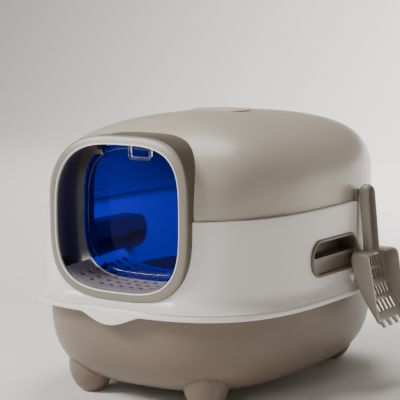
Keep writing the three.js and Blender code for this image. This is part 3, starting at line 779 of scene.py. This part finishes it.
def make_hanger():
    """Clear squared-off U with round ends."""
    outer = rounded_outline(-19, 19, 327, 362, 5, 8)
    inner = rounded_outline(-14.2, 14.2, 331.6, 372, 3, 8)
    back = DOOR_Y - 3.3
    bracket = prism("door_hanger_u", outer, "y", back - 3, back)
    carve(bracket, prism("gap", inner, "y", back - 5, back + 2))
    carve(bracket, prism("top", rounded_outline(-30, 30, 350, 380, 1, 2), "y", back - 6, back + 3))
    return soften(bracket, 0.7, 40)


def make_pin(name, sense):
    low, high = sorted((57 * sense, 71.5 * sense))
    return soften(round_bar(name, "x", (DOOR_Y, PIVOT_Z), 2, low, high), 0.4)


# ---- filter vent ------------------------------------------------------------
def make_filter_cup():
    profile = [(0.01, 368.6), (34.6, 368.6), (35.8, 369.1), (36.2, 370.2), (36.2, 381.7), (39.5, 381.7)]
    profile += [(40, 382), (40, 382.3), (39.7, 382.5), (34.8, 382.5), (34.2, 382.1), (34.2, 371.2)]
    profile += [(33.6, 370.6), (0.01, 370.6)]
    cup = turned("filter_cup_body", profile)
    slots = []
    for i in range(-2, 3):
        half = math.sqrt(28 ** 2 - (11 * i) ** 2)
        line = rounded_outline(11 * i - 2.6, 11 * i + 2.6, VENT_Y - half, VENT_Y + half, 2.5, 6)
        slots.append(prism("slot", line, "z", 366, 374))
    return carve(cup, together("slots", *slots))


def make_filter():
    profile = [(0.01, 370.9), (32.8, 370.9), (33.5, 371.6), (33.6, 374.1), (33.4, 376.4)]
    profile += [(32.6, 377.1), (0.01, 376.8)]
    return turned("carbon_filter_pad", profile)


def make_vent_cap():
    profile = [(0.01, 382.8), (30.5, 382.8), (30.5, 379.6), (31, 379.2), (32.5, 379.2), (33, 379.6)]
    profile += [(33, 382.8), (41.5, 382.8), (42, 383.1), (42, 383.4), (41.7, 383.75), (41, 384.05)]
    profile += [(38, 384.4), (30, 384.9), (16, 385.3), (0.01, 385.4)]
    return turned("vent_cap_disc", profile, 128)


# ---- scoop and holder ------------------------------------------------------------
def handle_base(z):
    return 188.5 + (281 - z) / 94 * 9.5


def handle_solid(name, inset, reach):
    """A domed bar: level sections of round-backed outline, closed in a dome at the top."""
    rings = []
    for i in range(19):
        z = 176 + 92 * i / 8 if i < 9 else 268 + (13 - inset) * math.sin(math.pi / 2 * (i - 8) / 10)
        lift = 0.0 if i < 9 else (i - 8) / 10
        near = math.cos(math.pi / 2 * lift) if lift else 1.0
        half = (13.5 - inset) * max(near, 0.05)
        low = handle_base(z) + inset + (9 - inset) * (1 - max(near, 0.05)) * 0.7
        high = handle_base(z) + 18 + reach - 5 * (1 - near)
        middle = (low + high) / 2
        xs, ys = oval((high - low) / 2, half, 3.2 if not reach else 4.5, 64)
        rings.append([(middle + u, SCOOP_Y + v, z) for u, v in zip(xs, ys)])
    return loft(name, rings)


def floor_x(z):
    return 197 + 51.2 * (max(0.0, 184 - z) / 104) ** 1.69


def basket_half(z):
    return mix(43.5, 48.5, (z - 86) / 98)


def basket_solid(name, inset, low, top):
    """The basket's body, or with an inset its inside, in level sections round at the floor's corners."""
    heights = (86, 95, 178, 183, 185.7, 187.6, 188.6)
    depths = (245.5, 241.5, 226.5, 225.2, 223.3, 220.4, 217)
    rings = []
    for z in [*np.linspace(low, top - 12, 22), *(top - drop for drop in (9, 6.5, 4.4, 2.6, 1.2, 0))]:
        shoulder = max(0.0, 1 - (top - z) / 10)
        half = basket_half(max(z, 86)) - inset - 9 * (1 - math.sqrt(1 - min(shoulder, 0.995) ** 2))
        near = floor_x(z) + inset * 1.08
        far = 320 if inset else float(np.interp(z, heights, depths))
        turn = min(5.5 - inset * 0.5, (far - near) * 0.8)
        line = [(far, -half), (far, half)]
        for sense in (1, -1):
            arc = [math.radians(90 * i / 8) for i in range(9)]
            corner = [(near + turn * (1 - math.sin(a)), half - turn * (1 - math.cos(a))) for a in arc]
            line += [(u, sense * v) for u, v in corner[::sense]]
        rings.append([(u, SCOOP_Y + v, z) for u, v in line])
    return loft(name, rings)


def make_scoop():
    scoop = basket_solid("scoop_body", 0, 86, 188.6)
    carve(scoop, handle_solid("handle", 0, 0), how="UNION")
    carve(scoop, basket_solid("bowl", 2.4, 66, 186.2))
    channel = handle_solid("channel", 2.5, 22)
    carve(channel, prism("guard", rounded_outline(150, 300, 50, 182, 1, 2), "y", 40, 130))
    carve(scoop, channel)
    cuts = []
    rows = [(163, 178, 9, 8.4, 4.2), (145, 159, 9, 8.4, 4.4), (124, 139.5, 8, 9.4, 5)]
    for low, high, count, pitch, wide in rows + [(104, 119.5, 6, 11.8, 7)]:
        for i in range(count):
            y = SCOOP_Y + (i - (count - 1) / 2) * pitch
            line = rounded_outline(y - wide / 2, y + wide / 2, low, high, wide * 0.42, 5)
            cuts.append(prism("slot", line, "x", 185, 242))
    notch = [(-8, 80), (8, 80), (3.8, 92.6), (2.4, 94.6), (0, 95.2), (-2.4, 94.6), (-3.8, 92.6)]
    for step in range(-2, 3):
        line = [(SCOOP_Y + step * 20 + u, v) for u, v in notch]
        cuts.append(prism("gap", line, "x", 225, 262))
    carve(scoop, together("cuts", *cuts))
    carve(scoop, round_bar("hang", "x", (SCOOP_Y, 268), 4.4, 180, 200))
    return soften(scoop, 0.4, 44, 2)


def make_holder():
    slope = [(floor_x(z) - 0.6, z) for z in np.linspace(141, 174, 10)]
    wedge = prism("scoop_holder_wedge", [(184.6, 141)] + slope + [(184.6, 174)], "y", 60, 118)
    rings = []
    for z in (139, 142, 146, 152, 160, 250):
        flare = flare_at(min(1, (z - 138) / 22))
        rings.append(level_ring(BAND_HALF + 0.4 + 12 * flare, BAND_LONG + 0.4, 3.0, z, count=160))
    wall = loft("wall", rings)
    carve(wall, block("niche", 182.8, 215, 70.3, 113.7, 150.3, 262, 2))
    carve(wedge, wall)
    carve(wedge, prism("grip room", grip_outline(0.9), "x", 180, 230))
    soften(wedge, 0.8, 40)
    plate = soften(block("plate", 184.6, 187, SCOOP_Y - 12, SCOOP_Y + 13, 151, 274, 4), 0.5)
    peg = soften(round_bar("peg", "x", (SCOOP_Y, 268), 3.4, 186.5, 200), 0.7)
    return carve(wedge, plate, peg, how="UNION")


# ---- fitting every piece ------------------------------------------------------------
fit(make_tray(), "tray", "lower_tray", TRAY_TAUPE)
for end, foot_y in (("front", -172), ("rear", 184)):
    for side, foot_x in (("left", -94), ("right", 94)):
        foot = make_foot(f"foot_bulb_{end}_{side}", foot_x, foot_y)
        fit(foot, "tray", f"foot_{end}_{side}", TRAY_TAUPE)

fit(make_mid_frame(), "frame", "mid_frame", BAND_WHITE)
right_grip = make_grip()
left_grip = mirrored(right_grip, "grip_insert_left")
fit(right_grip, "frame", "grip_right", GRIP_BROWN)
fit(left_grip, "frame", "grip_left", GRIP_BROWN)
fit(make_holder(), "frame", "scoop_holder", SCOOP_TAUPE)

fit(make_hood(), "cover", "hood", HOOD_TAUPE)
portal = make_portal()
paint_mask(portal, "lip_highlight_and_wear", lip_highlight_and_wear)
paint_mask(portal, "tunnel_painted_shade", tunnel_painted_shade)
paint_mask(portal, "collar_painted_shade", collar_painted_shade)
fit(portal, "cover", "portal_frame", GATE_TAUPE)
fit(make_step(), "cover", "step_plate", STEP_GREY)
fit(make_filter_cup(), "cover", "filter_cup", HOOD_TAUPE)
fit(make_filter(), "cover", "carbon_filter", CARBON_FELT)
fit(make_pin("hinge_pin_left", -1), "cover", "pivot_pin_left", PIN_STEEL)
fit(make_pin("hinge_pin_right", 1), "cover", "pivot_pin_right", PIN_STEEL)
fit(make_vent_cap(), "cap", "vent_cap", CAP_TAUPE)

door = make_door()
paint_mask(door, "rim_gloss", rim_gloss)
fit(door, "door", "flap_door", DOOR_BLUE)
fit(make_hanger(), "door", "door_hanger", HANGER_CLEAR)
fit(make_scoop(), "hung_scoop", "scoop", SCOOP_TAUPE)


# ---- floor, light and camera ------------------------------------------------------------
def make_floor():
    """A pale sweep: level under the box, curving up far behind it."""
    work = bmesh.new()
    rows = []
    for i in range(41):
        t = i / 40
        y = mix(-4.0, 5.0, t)
        rise = 0.0 if y < 3.0 else 1.2 * ((y - 3.0) / 2.0) ** 2
        rows.append([work.verts.new((x, y, rise)) for x in (-6.0, -2.0, 2.0, 6.0)])
    for near, far in zip(rows, rows[1:]):
        for k in range(3):
            work.faces.new((near[k], near[k + 1], far[k + 1], far[k]))
    mesh = bpy.data.meshes.new("studio_floor")
    work.to_mesh(mesh)
    work.free()
    mesh.shade_smooth()
    floor = bpy.data.objects.new("studio_floor", mesh)
    bpy.context.scene.collection.objects.link(floor)
    material, tree, skin = new_material("studio floor pale")
    soft = noise(tree, own_place(tree), 3.0, 4.0, 0.5)
    shades = blend_colour(tree, soft, tint(240, 238, 235), tint(245, 243, 240))
    tree.links.new(shades, skin.inputs["Base Color"])
    skin.inputs["Roughness"].default_value = 0.7
    mesh.materials.append(material)


def add_softbox(name, place, aim, wide, tall, watts, colour):
    lamp = bpy.data.lights.new(name, "AREA")
    lamp.shape = "RECTANGLE"
    lamp.size = wide
    lamp.size_y = tall
    lamp.energy = watts
    lamp.color = colour
    box = bpy.data.objects.new(name, lamp)
    box.location = place
    box.rotation_euler = (Vector(aim) - Vector(place)).to_track_quat("-Z", "Y").to_euler()
    box.visible_camera = False
    box.visible_transmission = False
    bpy.context.scene.collection.objects.link(box)


make_floor()
add_softbox("key softbox", (-1.7, -1.9, 2.0), (0, 0, 0.25), 1.1, 1.1, 100, (1.0, 0.985, 0.96))
add_softbox("front strip softbox", (0.55, -2.6, 1.2), (0, 0, 0.3), 0.35, 1.6, 12, (1.0, 0.99, 0.97))
add_softbox("warm side fill", (2.3, 0.9, 0.6), (0, 0, 0.2), 1.2, 0.9, 2.5, (1.0, 0.72, 0.5))
add_softbox("top softbox", (-0.3, 0.5, 2.3), (0, 0, 0.3), 1.2, 1.2, 34, (1.0, 0.97, 0.93))
add_softbox("backdrop wash", (0.4, 2.0, 2.6), (0.8, 4.6, 0.7), 2.2, 1.0, 420, (1.0, 0.98, 0.96))
under_hood = spot(0, 40, 340)
add_softbox("light inside the hood", under_hood, spot(0, -20, 150), 0.16, 0.16, 0.9, (1.0, 0.98, 0.98))

world = bpy.data.worlds.new("studio air")
world.use_nodes = True
air = world.node_tree.nodes["Background"]
air.inputs["Color"].default_value = (0.9, 0.88, 0.86, 1)
air.inputs["Strength"].default_value = 0.12
bpy.context.scene.world = world

AZIMUTH = math.radians(32.86)
ELEVATION = math.radians(7.32)
DISTANCE = 2.12007
level = math.cos(ELEVATION)
right = Vector((math.cos(AZIMUTH), math.sin(AZIMUTH), 0))
back = Vector((math.sin(AZIMUTH) * level, -math.cos(AZIMUTH) * level, math.sin(ELEVATION)))
up = back.cross(right)
aim = spot(0, 0, 254.06) + right * -22.34 * MM
camera_data = bpy.data.cameras.new("studio camera")
camera_data.sensor_width = 36.0
camera_data.lens = 132.89
camera_data.clip_end = 30.0
camera = bpy.data.objects.new("studio camera", camera_data)
camera.matrix_world = Matrix((right, up, back)).transposed().to_4x4()
camera.location = aim + back * DISTANCE
bpy.context.scene.collection.objects.link(camera)
bpy.context.scene.camera = camera
